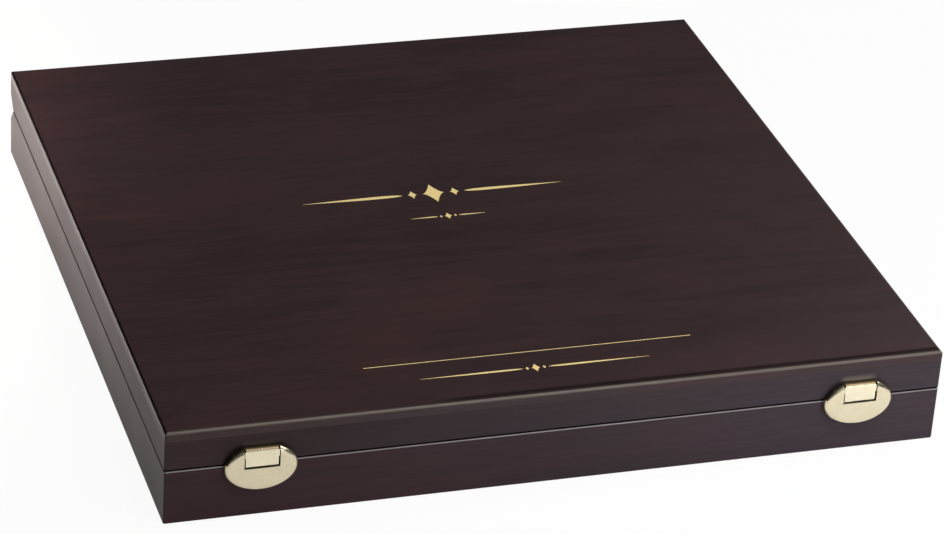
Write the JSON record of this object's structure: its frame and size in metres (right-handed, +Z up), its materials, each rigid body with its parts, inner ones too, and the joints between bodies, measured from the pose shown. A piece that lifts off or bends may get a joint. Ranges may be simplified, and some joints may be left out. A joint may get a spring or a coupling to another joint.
{
  "type": "hinged wooden pencil case",
  "caption": "Flat dark-lacquered wooden case with a rear-hinged lid, oval snap latches on the front, a V-groove along the back of the seam and grooved pencil trays inside.",
  "frame": {"origin": "middle of the underside of the base, between the four outer walls", "axes": "+X to the right along the front, +Y from the latches to the hinges, +Z up"},
  "size_m": [0.39, 0.3836, 0.05],
  "materials": {
    "lacquered_wood": "dark brown satin lacquer",
    "panel_wood": "stained fibreboard",
    "tray_flock": "black flock",
    "lid_lining": "black flock",
    "latch_brass": "brushed pale gold",
    "hinge_brass": "plated, satin",
    "spring_steel": "bright"
  },
  "bodies": {
    "base": {"base_front_board": "lacquered_wood", "base_back_board": "lacquered_wood", "base_left_board": "lacquered_wood", "base_right_board": "lacquered_wood", "base_bottom_panel": "panel_wood", "pencil_tray_front": "tray_flock", "pencil_tray_back": "tray_flock", "hinge_left_base_leaf": "hinge_brass", "hinge_right_base_leaf": "hinge_brass", "hinge_left_pin": "hinge_brass", "hinge_right_pin": "hinge_brass", "base_hinge_screws": "hinge_brass", "latch_left_keeper": "latch_brass", "latch_right_keeper": "latch_brass", "latch_left_catch_spring": "spring_steel", "latch_right_catch_spring": "spring_steel", "keeper_nails": "latch_brass"},
    "lid": {"lid_front_board": "lacquered_wood", "lid_back_board": "lacquered_wood", "lid_left_board": "lacquered_wood", "lid_right_board": "lacquered_wood", "lid_top_panel": "lacquered_wood", "lid_lining_board": "lid_lining", "hinge_left_lid_leaf": "hinge_brass", "hinge_right_lid_leaf": "hinge_brass", "lid_hinge_screws": "hinge_brass", "latch_left_hanger": "latch_brass", "latch_right_hanger": "latch_brass", "latch_left_pin": "latch_brass", "latch_right_pin": "latch_brass", "hanger_nails": "latch_brass"},
    "latch_left": {"latch_left_lever": "latch_brass"},
    "latch_right": {"latch_right_lever": "latch_brass"}
  },
  "joints": [
    {"name": "lid_hinge", "type": "hinge", "parent": "base", "child": "lid", "pos_m": [0, 0.182, 0.02905], "axis": [-1, 0, 0], "range_deg": [0, 95]},
    {"name": "latch_left_pivot", "type": "hinge", "parent": "lid", "child": "latch_left", "pos_m": [-0.1491, -0.1916, 0.03695], "axis": [-1, 0, 0], "range_deg": [0, 75], "deforming": ["latch_left_catch_spring"]},
    {"name": "latch_right_pivot", "type": "hinge", "parent": "lid", "child": "latch_right", "pos_m": [0.1514, -0.1916, 0.03695], "axis": [-1, 0, 0], "range_deg": [0, 75], "deforming": ["latch_right_catch_spring"]}
  ]
}
